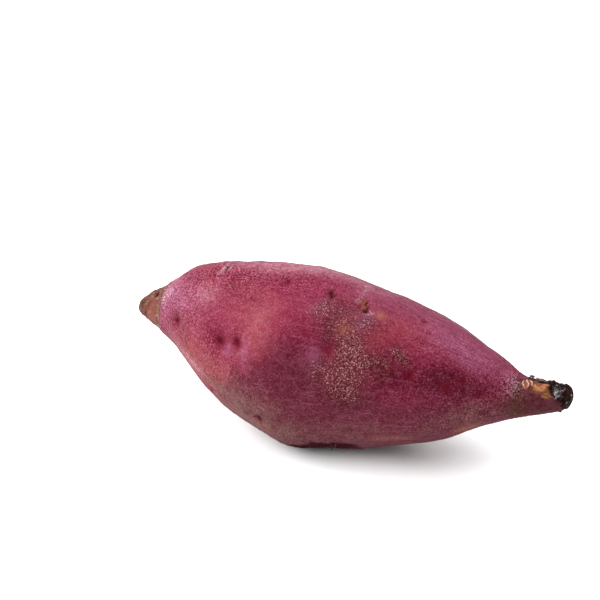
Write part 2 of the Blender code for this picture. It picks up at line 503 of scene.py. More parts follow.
# Dull olive patches, low in front and underneath.
OLIVE = (
    (66.0, 202, 26.0, 20.0, 1.3),
    (50.0, 197, 20.0, 14.0, 0.6),
    (86.0, 214, 30.0, 14.0, 0.45),
    (104.0, 204, 24.0, 12.0, 0.3),
    (140.0, 193, 22.0, 10.0, 0.7),
    (124.0, 208, 22.0, 8.0, 0.3),
    (80.0, 270, 70.0, 36.0, 0.6),
    (62.0, 330, 40.0, 16.0, 0.4),
)
# Pale flecks where the outermost skin flaked: by the stub, at old scars and along the low left edge.
FLECKS = (
    (13.8, 138, 3.0, 8.0, 0.9),
    (16.4, 131, 3.0, 3.0, 0.8),
    (15.5, 108, 5.0, 10.0, 0.15),
    (36.2, 91, 1.4, 8.0, 0.9),
    (38.2, 91, 1.4, 6.0, 0.9),
    (90.6, 78, 1.4, 2.0, 1.0),
    (91.8, 86, 1.2, 5.0, 0.5),
    (92.2, 99, 0.9, 5.0, 0.8),
    (97.6, 108, 3.0, 2.0, 0.7),
    (32.0, 196, 16.0, 5.0, 0.5),
    (37.0, 226, 12.0, 5.0, 0.8),
    (150.0, 120, 5.0, 8.0, 0.4),
    (52.0, 300, 20.0, 14.0, 0.5),
)
# The biggest eye is an open groove with a brown lining, and three others show some of theirs.
LINING = (
    (93.8, 98.5, 2.8, 4.0, 1.0),
    (95.0, 103.5, 2.8, 4.0, 1.0),
    (82.9, 102.5, 2.0, 3.4, 0.4),
    (71.8, 308, 3.4, 4.6, 0.8),
    (60.2, 358, 3.4, 4.6, 0.8),
)

# The zones' edges wander by a few millimetres.
ZONE_WANDER = 3.0
ZONE_GRAIN = 8.0
wandering = (
    along + ZONE_WANDER * noise(bare, ZONE_GRAIN, 11),
    angle + ZONE_WANDER * noise(bare, ZONE_GRAIN, 12) / GREATEST_HALF_THICKNESS,
    girth,
)
zones = {
    "bloom_and_sheen": patches(*wandering, BLOOM_AND_SHEEN),
    "coral": patches(*wandering, CORAL),
    "dusty_sheen": patches(*wandering, DUSTY_SHEEN),
    "crimson": patches(along, angle, girth, CRIMSON),
    "wine": patches(*wandering, WINE),
    "speckle": patches(*wandering, SPECKLE),
    "scuff": patches(along, angle, girth, SCUFF),
    "olive": patches(*wandering, OLIVE),
    "fleck": patches(along, angle, girth, FLECKS),
    "lining": patches(along, angle, girth, LINING),
}

# Underneath, the skin is dull and brownish, up to about level in front and behind. That edge
# wanders, lies lowest by the stub, and rises at the middle of the root.
DULL_FROM = 152.0
DULL_TO = 184.0
DULL_WANDER = ((9.0, 15.0, 13), (6.0, 5.0, 14))
DROP_BY_STUB = 55.0
DROP_ENDS = (38.0, 60.0)
MIDDLE_RISE = 19.0
RISE_PLACE = 76.0
RISE_SPREAD = 14.0
turned = 90 + np.degrees(np.arccos(np.clip(np.sin(angle), -1, 1)))
dull_wander = uneven(bare, *DULL_WANDER) - DROP_BY_STUB * (1 - eased(along, *DROP_ENDS))
dull_wander += MIDDLE_RISE * np.exp(-((along - RISE_PLACE) ** 2) / RISE_SPREAD**2)
zones["dull"] = eased(turned + dull_wander, DULL_FROM, DULL_TO)

# Where the surface is crinkled and grainy rather than smooth.
CRINKLED = (
    (22.0, 120, 26.0, 60.0, 0.9),
    (45.0, 92, 40.0, 24.0, 0.8),
    (72.0, 82, 50.0, 20.0, 0.6),
    (150.0, 140, 16.0, 40.0, 0.2),
    (58.0, 203, 36.0, 26.0, 0.8),
    (84.0, 228, 44.0, 22.0, 0.8),
    (136.0, 200, 36.0, 16.0, 0.5),
    (44.0, 168, 24.0, 30.0, 0.25),
    (130.0, 100, 40.0, 20.0, 0.35),
    (40.0, 20, 40.0, 30.0, 0.6),
    (80.0, 280, 50.0, 40.0, 0.6),
)
zones["crinkle"] = patches(*wandering, CRINKLED)

# The corky stub of the stalk, with the hole that a side shoot left, and the frayed edge of the skin.
STUB_LENGTH = 11.5
STUB_SLANT = 1.0
SLANT_FROM = 1.6
STUB_RAGGED = (0.7, 2.2, 15)
HALF_BLEND = 0.5
STUB_HOLE = (8.6, 122, 2.2, 2.6)
STUB_BULGE = (10.5, 228, 16.0, 12.0, 2.0)
FRAY_WIDTH = 0.8
FRAY_GRAIN = (1.0, 1.4, 25)
FRAY_RAMP = (0.0, 0.6)
FRAY_PALENESS = 0.35
BARE_CORK = (
    (8.8, 172, 7.0, 13.0, 1.0),
    (9.0, 20, 6.0, 8.0, 0.6),
    (9.5, 205, 5.0, 9.0, 0.8),
)
stub_edge = STUB_LENGTH + STUB_SLANT * np.sin(angle - SLANT_FROM) + uneven(bare, STUB_RAGGED)
zones["stub"] = 1 - eased(along, stub_edge - HALF_BLEND, stub_edge + HALF_BLEND)
frayed_edge = np.exp(-((along - stub_edge - HALF_BLEND) ** 2) / FRAY_WIDTH**2)
frayed_edge *= eased(uneven(bare, FRAY_GRAIN), *FRAY_RAMP)
zones["fleck"] = np.clip(zones["fleck"] + FRAY_PALENESS * frayed_edge, 0, 1)
hole = closeness(along, angle, girth, STUB_HOLE)
zones["bare_cork"] = patches(*wandering, BARE_CORK)

# Eyes: a wine tint over each mouth, and painted shade, dark red, in its creases and in the stub's hole.
# Their outlines are a little uneven.
MOUTH_SHARE = 0.6
NUDGE_ALONG = (0.35, 2.0, 19)
NUDGE_ROUND = (0.35, 2.0, 20)
PIT_SHADE_RAMP = (0.05, 0.95)
nudged = (along + uneven(bare, NUDGE_ALONG), angle + uneven(bare, NUDGE_ROUND) / girth, girth)
mouths = 0
for place, turn, length, breadth, depth in EYES:
    mouths += min(1, depth) * closeness(*nudged, (place, turn, MOUTH_SHARE * length, MOUTH_SHARE * breadth))
zones["eye"] = np.clip(mouths, 0, 1) * (1 - zones["lining"])
zones["pit"] = eased(hole + sum(spot[5] * closeness(*nudged, spot, spot[6]) for spot in CREASES), *PIT_SHADE_RAMP)

# The torn patch shows flesh, with cream-pink skin at its stalk side, and its upper edge is singed.
FLESH = (159.0, 109, 8.2, 6.5)
RAW_EDGE = (154.2, 104, 3.6, 5.5)
SINGED = (157.6, 80, 8.0, 1.6)
OLIVE_CRUST = (162.2, 141, 4.4, 3.8)
TEAR_RAGGED = (0.20, 1.5, 16)
RAW_RAGGED = 1.3
FLESH_RAMP = (0.36, 0.50)
BROWNED_RAMP = (0.5, 0.85)
OLIVE_RAMP = (0.4, 0.7)
RAW_RAMP = (0.40, 0.62)
SINGED_RAMP = (0.35, 0.6)
ragged = uneven(bare, TEAR_RAGGED)
torn = closeness(along, angle, girth, FLESH)
zones["flesh"] = eased(torn + ragged, *FLESH_RAMP)
zones["browned"] = zones["flesh"] * (1 - eased(torn + ragged, *BROWNED_RAMP))
zones["olive_crust"] = eased(closeness(along, angle, girth, OLIVE_CRUST) + ragged, *OLIVE_RAMP)
raw_edge = eased(closeness(along, angle, girth, RAW_EDGE) + RAW_RAGGED * ragged, *RAW_RAMP)
zones["raw"] = raw_edge * (1 - zones["flesh"])
singed = eased(closeness(along, angle, girth, SINGED) + ragged, *SINGED_RAMP)

# The black crust's edge on the skin has teeth, where two waves round the tail meet.
EDGE_TEETH = 0.6
EDGE_RAGGED = (0.5, 1.8, 17)
BURN_BEFORE = 0.7
BURN_AFTER = 0.3
crust_places, crust_starts = zip(*CRUST_EDGE)
crust_edge = np.interp(np.degrees(angle), crust_places, crust_starts)
crust_edge = crust_edge + EDGE_TEETH * np.sin(9 * angle) * np.sin(4 * angle + 1) + uneven(bare, EDGE_RAGGED)
burnt = eased(along, crust_edge - BURN_BEFORE, crust_edge + BURN_AFTER)
zones["burn"] = np.clip(burnt + singed, 0, 1)

# Painted shade, dark maroon, underneath where the root touches the floor and reaching up the low front.
CONTACT_SHADE_SURE = 0.5
CONTACT_SHADE_HEIGHT = 3.4
CONTACT_SHADE_WANDER = (0.9, 5.0, 18)
CONTACT_SHADE_REACH = (82.0, 237, 42.0, 12.0)
REACH_WANDER = (0.15, 2.5, 28)
REACH_RAMP = (0.25, 0.6)
near_floor = 1 - eased(bare[..., 2] + uneven(bare, CONTACT_SHADE_WANDER), CONTACT_SHADE_SURE, CONTACT_SHADE_HEIGHT)
shade_reach = eased(closeness(*wandering, CONTACT_SHADE_REACH) + uneven(bare, REACH_WANDER), *REACH_RAMP)
zones["juice"] = np.maximum(near_floor, shade_reach)

# Heat browned the skin of the tail.
SCORCHED = (
    (161.0, 190, 17.0, 16.0, 1.0),
    (154.0, 152, 9.0, 12.0, 0.8),
    (161.0, 262, 18.0, 20.0, 1.0),
    (161.0, 330, 15.0, 16.0, 0.9),
    (152.5, 100, 4.0, 10.0, 0.5),
)
zones["scorched"] = patches(*wandering, SCORCHED)

# Brownish rings round the neck of the tail.
NECK_START = (146.0, 150.0)
NECK_END = (155.0, 158.0)
RING_SPACING = 1.7
RING_WANDER = (2.5, 5.0, 23)
RING_FADING = 0.25
BROWN_RING = (153.7, 182, 4.2, 20.0)
ring_share = eased(along, *NECK_START) * (1 - eased(along, *NECK_END))
rings = np.sin(2 * np.pi * along / RING_SPACING + uneven(bare, RING_WANDER))
zones["ring"] = closeness(*wandering, BROWN_RING) * (1 - RING_FADING + RING_FADING * rings)

# Fine relief, in millimetres. Where it has a grain, it is a height, a grain and a random seed.
UNEVENNESS = ((0.22, 9.0, 0), (0.14, 4.0, 1), (0.06, 1.7, 2))
WRINKLE_HEIGHT = 0.10
WRINKLE_LENGTH = 14.0
WRINKLE_WIDTH = 1.7
WRINKLED_MIDDLE = 0.4
WRINKLED_TAIL = 0.6
TAIL_RAMP = (90.0, 125.0)
WRINKLED_STUB = 0.5
STUB_RAMP = (14.0, 30.0)
GRAIN_HEIGHT = 0.16
GRAIN_SIZE = 1.1
GRAINS_ELSEWHERE = 0.2
CRINKLES = (0.10, 1.3, 26)
RING_HEIGHT = 0.07
FLESH_DEPTH = 0.5
RAW_DEPTH = 0.2
CRUST_BED = 0.5
BED_BEFORE = 0.4
BED_AFTER = 1.2
STUB_ROUGHNESS = ((0.42, 2.6, 24), (0.26, 1.1, 27))
FRAY_HEIGHT = 0.3
STUB_SHRINKING = 0.25
TIP_SWELLING = 0.4
TIP_RAMP = (3.0, 7.0)
HOLE_DEPTH = 1.3
relief = uneven(bare, *UNEVENNESS)
wrinkled = WRINKLED_MIDDLE + WRINKLED_TAIL * eased(along, *TAIL_RAMP)
wrinkled += WRINKLED_STUB * (1 - eased(along, *STUB_RAMP))
drawn_out = cylinder / (WRINKLE_LENGTH, WRINKLE_WIDTH, WRINKLE_WIDTH)
relief += WRINKLE_HEIGHT * wrinkled * noise(drawn_out, 1.0, 21)
grains = np.clip(noise(bare, GRAIN_SIZE, 22), 0, 1)
relief += GRAIN_HEIGHT * (GRAINS_ELSEWHERE + zones["speckle"]) * grains
relief += zones["crinkle"] * uneven(bare, CRINKLES)
relief += RING_HEIGHT * ring_share * rings
for spot in CREASES:
    relief -= spot[4] * closeness(*nudged, spot, spot[6])
relief -= FLESH_DEPTH * zones["flesh"] + RAW_DEPTH * zones["raw"]
relief -= CRUST_BED * eased(along, crust_edge - BED_BEFORE, crust_edge + BED_AFTER)
relief += zones["stub"] * uneven(bare, *STUB_ROUGHNESS) + FRAY_HEIGHT * frayed_edge
relief -= STUB_SHRINKING * zones["stub"] * (1 - TIP_SWELLING * eased(along, *TIP_RAMP)) + HOLE_DEPTH * hole
relief += STUB_BULGE[4] * closeness(along, angle, girth, STUB_BULGE)

skin_points = placed(along, angle, main_radius(along, angle) + relief)
skin_points = np.clip(skin_points, *solid_box)
skin_mesh = tubes_mesh("skin", [skin_points])
for zone, amount in zones.items():
    skin_mesh.attributes.new(zone, "FLOAT", "POINT").data.foreach_set("value", with_tips(amount))
meridian = skin_mesh.attributes.new("meridian", "FLOAT_VECTOR", "POINT")
meridian.data.foreach_set("vector", with_tips(cylinder).ravel())


def linear(colour):
    """An sRGB hex colour as the linear RGBA that shaders take."""
    shares = np.array([int(colour[i:i + 2], 16) for i in (1, 3, 5)]) / 255
    curved = np.where(shares <= 0.04045, shares / 12.92, ((shares + 0.055) / 1.055) ** 2.4)
    return (*curved, 1.0)


def add_node(tree, kind, inputs=(), output=0, **settings):
    """Adds a node with its settings, gives its inputs their links, hex colours or values, and returns
    one of its outputs.
    """
    node = tree.nodes.new(kind)
    for name, value in settings.items():
        setattr(node, name, value)
    for socket, value in dict(inputs).items():
        if isinstance(value, bpy.types.NodeSocket):
            tree.links.new(value, node.inputs[socket])
        elif isinstance(value, str):
            node.inputs[socket].default_value = linear(value)
        else:
            node.inputs[socket].default_value = value
    return node.outputs[output]


def start_material(name):
    """A new material, its node tree, its shader, and the place on the root in millimetres."""
    material = bpy.data.materials.new(name)
    material.use_nodes = True
    tree = material.node_tree
    object_place = add_node(tree, "ShaderNodeTexCoord", output="Object")
    in_mm = add_node(tree, "ShaderNodeMapping", {"Vector": object_place, "Scale": (1 / MM,) * 3})
    return material, tree, tree.nodes["Principled BSDF"], in_mm


# Roasted periderm: layers of cork cells, satin, with a faint waxy gloss. Purple-red pigment shows
# through unevenly, pale streaks follow the root, and pale corky grains stand on it. Some colours are
# painted light: sheen in the bloom and the dusty pink, sparkle in the veil, and shade in the pits,
# the fine creases and where the root touches the floor.
ROSE = "#6a2036"
CORAL_RED = "#72272e"
CRIMSON_RED = "#5c0f26"
WINE_RED = "#46041a"
DULL_BROWN = "#481322"
DULL_OLIVE = "#5e3c38"
BLOOM_SHEEN_MAUVE = "#80465f"
DUSTY_SHEEN_PINK = "#8c5a66"
SPARKLE_VEIL_PINK = "#955e6b"
SPECKLE_GROUND = "#3e1118"
SPECKLE_CREAM = "#b07b78"
SCUFF_TAN = "#925a44"
LINING_BROWN = "#6a2a24"
LINING_TAN = "#8c5248"
CORK_TAN = "#5c3c2c"
CORK_PALE = "#84645a"
CORK_BROWN = "#301814"
CORK_SALMON = "#683a33"
EYE_WINE = "#540016"
PIT_SHADE_DARK = "#34000a"
SCORCHED_MAROON = "#42181f"
RING_BROWN = "#42241a"
FLESH_ORANGE = "#62321e"
FLESH_PALE = "#a06e4a"
FLESH_BROWN = "#4a2214"
OLIVE_TAN = "#74502a"
FLECK_WHITE = "#b89ca4"
RAW_PINK = "#744438"
BURNT_BLACK = "#0e0606"
CONTACT_SHADE_MAROON = "#2a040e"

periderm, tree, shader, in_mm = start_material("roasted_periderm")
share = {zone: add_node(tree, "ShaderNodeAttribute", output="Fac", attribute_name=zone) for zone in zones}
follow = add_node(tree, "ShaderNodeAttribute", output="Vector", attribute_name="meridian")

# Patterns: their real size in millimetres, how many finer layers they have, and how strong those are.
# Cork cells are 0.05 mm and are drawn 0.6 mm coarse so that they show.
PATTERNS = (
    ("pigment", 6.0, 3.0, 0.6),
    ("blotch", 2.2, 3.0, 0.65),
    ("cells", 0.6, 2.0, 0.7),
    ("crumbs", 0.5, 2.0, 0.7),
)
FIBRE_LENGTH = 9.0
FIBRE_WIDTH = 0.8
CREASE_SPACING = 1.6
pattern = {}
for name, size, detail, strength in PATTERNS:
    pattern[name] = add_node(tree, "ShaderNodeTexNoise", {
        "Vector": in_mm,
        "Scale": 1 / size,
        "Detail": detail,
        "Roughness": strength,
    })
fibre_place = add_node(tree, "ShaderNodeMapping", {
    "Vector": follow,
    "Scale": (1 / FIBRE_LENGTH, 1 / FIBRE_WIDTH, 1 / FIBRE_WIDTH),
})
pattern["fibres"] = add_node(tree, "ShaderNodeTexNoise", {
    "Vector": fibre_place,
    "Scale": 1.0,
    "Detail": 3.0,
    "Roughness": 0.6,
})
pattern["creases"] = add_node(tree, "ShaderNodeTexVoronoi", {
    "Vector": in_mm,
    "Scale": 1 / CREASE_SPACING,
}, "Distance", feature="DISTANCE_TO_EDGE")

# Ramps: each has its pattern or zone, two values of that, and what the ramp gives at each.
RAMPS = (
    ("bloom_and_sheen", "fibres", 0.36, 0.64, 0.25, 0.95),
    ("streaks", "fibres", 0.54, 0.72, 0.0, 0.28),
    ("crimson_mottle", "pigment", 0.50, 0.66, 0.0, 0.4),
    ("coral_mottle", "pigment", 0.46, 0.32, 0.0, 0.45),
    ("olive", "pigment", 0.36, 0.56, 0.25, 1.0),
    ("dusty_sheen", "blotch", 0.36, 0.60, 0.45, 1.0),
    ("clusters", "blotch", 0.40, 0.56, 0.45, 1.0),
    ("cork_lights", "blotch", 0.54, 0.68, 0.0, 0.9),
    ("flesh_lights", "blotch", 0.40, 0.62, 0.0, 1.0),
    ("fleck", "cells", 0.46, 0.60, 0.0, 1.0),
    ("roughness", "cells", 0.3, 0.7, 0.42, 0.62),
    ("scuff", "crumbs", 0.40, 0.58, 0.1, 0.9),
    ("olive_crust", "crumbs", 0.42, 0.54, 0.0, 1.0),
    ("cork_grain", "crumbs", 0.54, 0.38, 0.0, 1.0),
    ("crease_shade", "creases", 0.0, 0.14, 0.55, 1.0),
    ("crease_depth", "crinkle", 0.0, 1.0, 0.12, 0.6),
    ("sparkle_veil", "crinkle", 0.0, 1.0, 1.0, 3.7),
    ("dull_veil", "dull", 0.0, 1.0, 1.0, 0.8),
    ("scorched_veil", "scorched", 0.0, 1.0, 1.0, 0.4),
    ("dull", "dull", 0.0, 1.0, 0.0, 0.85),
    ("speckle", "speckle", 0.0, 1.0, 0.0, 0.85),
)
sources = {**share, **pattern}
ramp = {}
for name, source, first, last, at_first, at_last in RAMPS:
    ramp[name] = add_node(tree, "ShaderNodeMapRange", {
        0: sources[source],
        1: first,
        2: last,
        3: at_first,
        4: at_last,
    })

# How much of these zones' colours shows, from 0 to 1: the zone times its ramp.
shown = {}
for zone in ("bloom_and_sheen", "olive", "dusty_sheen", "fleck", "scuff", "olive_crust"):
    shown[zone] = add_node(tree, "ShaderNodeMath", {0: ramp[zone], 1: share[zone]}, operation="MULTIPLY")

# The cork cells' pale walls, with painted sparkle, veil the colour. Below their middle value they darken it
# half as much.
CELLS_MIDDLE = 0.507
sparkle_veil = add_node(tree, "ShaderNodeMath", {0: pattern["cells"], 1: CELLS_MIDDLE}, operation="SUBTRACT")
for factor in (ramp["sparkle_veil"], ramp["dull_veil"], ramp["scorched_veil"]):
    sparkle_veil = add_node(tree, "ShaderNodeMath", {0: sparkle_veil, 1: factor}, operation="MULTIPLY")
patchy = add_node(tree, "ShaderNodeMath", {0: pattern["blotch"], 1: 0.5}, operation="SUBTRACT")
sparkle_veil = add_node(tree, "ShaderNodeMath", {0: patchy, 1: 0.4, 2: sparkle_veil}, operation="MULTIPLY_ADD")
darkening = add_node(tree, "ShaderNodeMath", {0: sparkle_veil, 1: 0.5}, operation="MULTIPLY")
sparkle_veil = add_node(tree, "ShaderNodeMath", {0: sparkle_veil, 1: darkening}, operation="MAXIMUM")

# Pale grains are where the crumb pattern rises over a threshold that the speckled zones lower.
GRAIN_THRESHOLD = 0.690
SPECKLE_LOWERS = -0.165
lowered = add_node(tree, "ShaderNodeMath", {
    0: share["speckle"],
    1: SPECKLE_LOWERS,
    2: GRAIN_THRESHOLD,
}, operation="MULTIPLY_ADD")
over = add_node(tree, "ShaderNodeMath", {0: pattern["crumbs"], 1: lowered}, operation="SUBTRACT")
grain_share = add_node(tree, "ShaderNodeMapRange", {0: over, 1: 0.0, 2: 0.08, 3: 0.0, 4: 0.85})
grain_share = add_node(tree, "ShaderNodeMath", {0: grain_share, 1: ramp["clusters"]}, operation="MULTIPLY")

# Colours that are themselves a mix of two, by a share from the first to the second.
mixed = {}
for name, amount, first, second in (
    ("grain", shown["bloom_and_sheen"], SPECKLE_CREAM, FLECK_WHITE),
    ("lining", ramp["fleck"], LINING_BROWN, LINING_TAN),
    ("flesh", ramp["flesh_lights"], FLESH_ORANGE, FLESH_PALE),
    ("cork", ramp["cork_grain"], CORK_TAN, CORK_BROWN),
):
    mixed[name] = add_node(tree, "ShaderNodeMix", {0: amount, 6: first, 7: second}, 2, data_type="RGBA")
cork = mixed["cork"]
for colour, amount in ((CORK_SALMON, share["bare_cork"]), (CORK_PALE, ramp["cork_lights"])):
    cork = add_node(tree, "ShaderNodeMix", {0: amount, 6: cork, 7: colour}, 2, data_type="RGBA")

# The colour is laid on in layers, from the bottom up; the bloom and the dusty pink are partly painted sheen.
base = ROSE
for colour, amount in (
    (CORAL_RED, ramp["coral_mottle"]),
    (CRIMSON_RED, ramp["crimson_mottle"]),
    (CORAL_RED, share["coral"]),
    (CRIMSON_RED, share["crimson"]),
    (WINE_RED, share["wine"]),
    (DULL_BROWN, ramp["dull"]),
    (DULL_OLIVE, shown["olive"]),
    (BLOOM_SHEEN_MAUVE, ramp["streaks"]),
    (BLOOM_SHEEN_MAUVE, shown["bloom_and_sheen"]),
    (DUSTY_SHEEN_PINK, shown["dusty_sheen"]),
    (SPECKLE_GROUND, ramp["speckle"]),
    (SCORCHED_MAROON, share["scorched"]),
    (RING_BROWN, share["ring"]),
):
    base = add_node(tree, "ShaderNodeMix", {0: amount, 6: base, 7: colour}, 2, data_type="RGBA")

# Painted shade darkens the fine creases, and the cork cells' pale walls, with painted sparkle, veil it
# unevenly.
crease_shade = add_node(tree, "ShaderNodeMix", {
    0: ramp["crease_depth"],
    2: 1.0,
    3: ramp["crease_shade"],
}, 0, data_type="FLOAT")
base = add_node(tree, "ShaderNodeMix", {
    0: 1.0,
    6: base,
    7: crease_shade,
}, 2, data_type="RGBA", blend_type="MULTIPLY")
base = add_node(tree, "ShaderNodeMix", {
    0: sparkle_veil,
    6: base,
    7: SPARKLE_VEIL_PINK,
}, 2, data_type="RGBA", blend_type="ADD", clamp_factor=False, clamp_result=True)

# Marks on top, among them painted shade in the pits and where the root touches the floor.
for colour, amount in (
    (mixed["grain"], grain_share),
    (SCUFF_TAN, shown["scuff"]),
    (mixed["lining"], share["lining"]),
    (FLECK_WHITE, shown["fleck"]),
    (EYE_WINE, share["eye"]),
    (cork, share["stub"]),
    (RAW_PINK, share["raw"]),
    (FLESH_BROWN, share["olive_crust"]),
    (OLIVE_TAN, shown["olive_crust"]),
    (mixed["flesh"], share["flesh"]),
    (FLESH_BROWN, share["browned"]),
    (CONTACT_SHADE_MAROON, share["juice"]),
    (PIT_SHADE_DARK, share["pit"]),
    (BURNT_BLACK, share["burn"]),
):
    base = add_node(tree, "ShaderNodeMix", {0: amount, 6: base, 7: colour}, 2, data_type="RGBA")
tree.links.new(base, shader.inputs["Base Color"])

# Rougher on the grains, and in the painted shade where the root touches the floor.
rough = ramp["roughness"]
for source, amount in ((grain_share, 0.2), (share["juice"], 0.5)):
    rough = add_node(tree, "ShaderNodeMath", {0: source, 1: amount, 2: rough}, operation="MULTIPLY_ADD")
tree.links.new(rough, shader.inputs["Roughness"])

# Relief too fine for the mesh: fibres, cells, crumbs, grains and creases stand about 0.1 mm high.
height = pattern["cells"]
for source, amount in (
    (pattern["fibres"], 0.8),
    (pattern["crumbs"], 1.2),
    (grain_share, 0.5),
    (crease_shade, 0.8),
):
    height = add_node(tree, "ShaderNodeMath", {0: source, 1: amount, 2: height}, operation="MULTIPLY_ADD")
bump = add_node(tree, "ShaderNodeBump", {"Height": height, "Distance": 0.22 * MM, "Strength": 1.0})
tree.links.new(bump, shader.inputs["Normal"])
shader.inputs["IOR"].default_value = 1.4
shader.inputs["Specular IOR Level"].default_value = 0.08

skin = add_piece("skin", skin_mesh, periderm)
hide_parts("sweet_potato")

# The burnt tail
# The thin root end, charred on the oven floor. Dried flesh and skin baked to a brittle black crust,
# blistered, cracked and folded over, and glossy where sugar boiled out and set.

CRUST_ROWS = 110
CRUST_COLUMNS = 150
CRUST_CROWDING = 1.1
CRUST_END_MARGIN = 0.15
EDGE_LOBES = 0.55
EDGE_NICKS = 0.35

# The solid's lumps, grown over the crust's first millimetres: height, length of one wave, waves
# round the tail, and where they start in radians.
CRUST_START = 157.0
CRUST_FULL = 163.0
CRUST_LUMPS = (
    (0.34, 5.3, 3, 0.4),
    (0.30, 3.9, -4, 1.7),
    (0.24, 3.1, 6, 3.2),
)
# Blisters and sunken folds: distance, angle, length, breadth, height.
BLISTERS = (
    (163.6, 118, 2.6, 3.4, 0.55),
    (165.4, 141, 2.4, 2.6, 0.40),
    (166.4, 100, 1.6, 3.0, -0.75),
    (167.4, 128, 1.5, 2.4, -0.65),
    (165.0, 84, 2.0, 2.0, 0.35),
    (168.6, 150, 1.8, 2.4, 0.35),
    (162.3, 96, 1.6, 2.2, 0.35),
    (166.6, 176, 2.2, 2.4, 0.30),
    (165.2, 205, 1.8, 2.0, -0.35),
    (164.4, 40, 2.6, 2.8, 0.45),
    (166.2, 5, 2.2, 2.4, -0.40),
    (165.4, 290, 2.6, 3.0, 0.45),
    (167.6, 255, 2.0, 2.2, -0.40),
)

start_share, crust_angle = np.meshgrid(
    np.linspace(0, 1, CRUST_ROWS),
    full_turn(CRUST_COLUMNS),
    indexing="ij",
)
edge_lobes = EDGE_LOBES * np.sin(7 * crust_angle + 1) * np.sin(4 * crust_angle)
ragged_edge = edge_lobes + EDGE_NICKS * np.sin(13 * crust_angle)
crust_first = np.interp(np.degrees(crust_angle), crust_places, crust_starts) + ragged_edge
crust_along = crust_first + (LENGTH - CRUST_END_MARGIN - crust_first) * start_share**CRUST_CROWDING
crust_place = (crust_along, crust_angle, plain_radius(crust_along))
crust_bare = placed(*crust_place) / MM
lumps = 0
for height, length, turns, start in CRUST_LUMPS:
    lumps = lumps + height * np.sin(2 * np.pi * crust_along / length + turns * crust_angle + start)
crust_relief = np.clip((crust_along - CRUST_START) / (CRUST_FULL - CRUST_START), 0, 1) * lumps
for spot in BLISTERS:
    crust_relief += spot[4] * closeness(*crust_place, spot)

# Cracks are where a random field passes zero, so that they run on as lines. Each row of a field is a
# height, a grain in millimetres and a random seed.
CRACK_FIELD = ((1.0, 1.9, 31), (0.5, 0.9, 32))
CRACK_WIDTH = 0.10
CRACK_DEPTH = 0.45
CRUST_ROUGHNESS = ((0.34, 1.5, 33), (0.15, 0.7, 34))
cracks = np.exp(-((uneven(crust_bare, *CRACK_FIELD) / CRACK_WIDTH) ** 2))
crust_relief += uneven(crust_bare, *CRUST_ROUGHNESS) - CRACK_DEPTH * cracks

# The crust's edge is tucked into the skin. Past it a lip stands up, low on one side, and falls off.
CRUST_TUCK = 0.7
TUCK_LEFT = 0.1
TUCK_ENDS = (0.1, 0.6)
LIP_HEIGHT = 0.75
LIP_CREST = 0.5
LIP_FOOT = 3.0
LIP_FALL = 0.75
LOW_SIDE = 222.0
LOW_SIDE_SPREAD = 0.5
LOW_SIDE_FALL = 0.9
from_edge = crust_along - crust_first
low_side = np.exp(-((crust_angle - np.radians(LOW_SIDE)) ** 2) / LOW_SIDE_SPREAD**2)
lip = LIP_HEIGHT * (1 - LOW_SIDE_FALL * low_side) * eased(from_edge, 0, LIP_CREST)
crust_relief += lip * (1 - LIP_FALL * eased(from_edge, LIP_CREST, LIP_FOOT))
crust_relief += (CRUST_TUCK - TUCK_LEFT) * eased(from_edge, *TUCK_ENDS) - CRUST_TUCK
crust_points = placed(crust_along, crust_angle, main_radius(crust_along, crust_angle) + crust_relief)
crust_points = np.clip(crust_points, *solid_box)
crust_mesh = tubes_mesh("burnt_tail", [crust_points])

# Where set sugar makes it glossy: a pool of it, and small specks all over.
CARAMEL = (165.6, 131, 3.8, 5.0)
CARAMEL_WEIGHT = 1.3
POOL_FIELD = (0.5, 1.6, 35)
POOL_RAMP = (0.45, 0.95)
SPECK_FIELD = (1.0, 0.8, 36)
SPECK_RAMP = (0.45, 0.65)
caramel = CARAMEL_WEIGHT * closeness(*crust_place, CARAMEL)
glossy = eased(uneven(crust_bare, POOL_FIELD) + caramel, *POOL_RAMP)
glossy = np.maximum(glossy, eased(uneven(crust_bare, SPECK_FIELD), *SPECK_RAMP))
for name, amount in (("crack", cracks), ("glossy", glossy)):
    crust_mesh.attributes.new(name, "FLOAT", "POINT").data.foreach_set("value", with_tips(amount))

# Char under set caramel: carbon black with brown where it is thin, matt in its cracks, and with a
# smooth clear coat where the sugar ran, so it shows small glints of the lights.
CHAR_BLACK = "#060304"
CHAR_BROWN = "#36150b"
CHAR_ASH = "#2a1a1c"
CHAR_GRAIN = 1.2

char, tree, shader, in_mm = start_material("caramelised_char")
crack = add_node(tree, "ShaderNodeAttribute", output="Fac", attribute_name="crack")
gloss = add_node(tree, "ShaderNodeAttribute", output="Fac", attribute_name="glossy")
scale_noise = add_node(tree, "ShaderNodeTexNoise", {
    "Vector": in_mm,
    "Scale": 1 / CHAR_GRAIN,
    "Detail": 4.0,
    "Roughness": 0.7,
})
brown_share = add_node(tree, "ShaderNodeMapRange", {0: scale_noise, 1: 0.46, 2: 0.60, 3: 0.0, 4: 0.9})
ash_share = add_node(tree, "ShaderNodeMapRange", {0: scale_noise, 1: 0.42, 2: 0.30, 3: 0.0, 4: 0.7})
base = CHAR_BLACK
for colour, amount in (
    (CHAR_BROWN, brown_share),
    (CHAR_ASH, ash_share),
    (CHAR_BLACK, crack),
):
    base = add_node(tree, "ShaderNodeMix", {0: amount, 6: base, 7: colour}, 2, data_type="RGBA")
tree.links.new(base, shader.inputs["Base Color"])
tree.links.new(gloss, shader.inputs["Coat Weight"])
shader.inputs["Coat Roughness"].default_value = 0.10
shader.inputs["Coat IOR"].default_value = 1.8
shader.inputs["Roughness"].default_value = 0.65
shader.inputs["Specular IOR Level"].default_value = 0.05
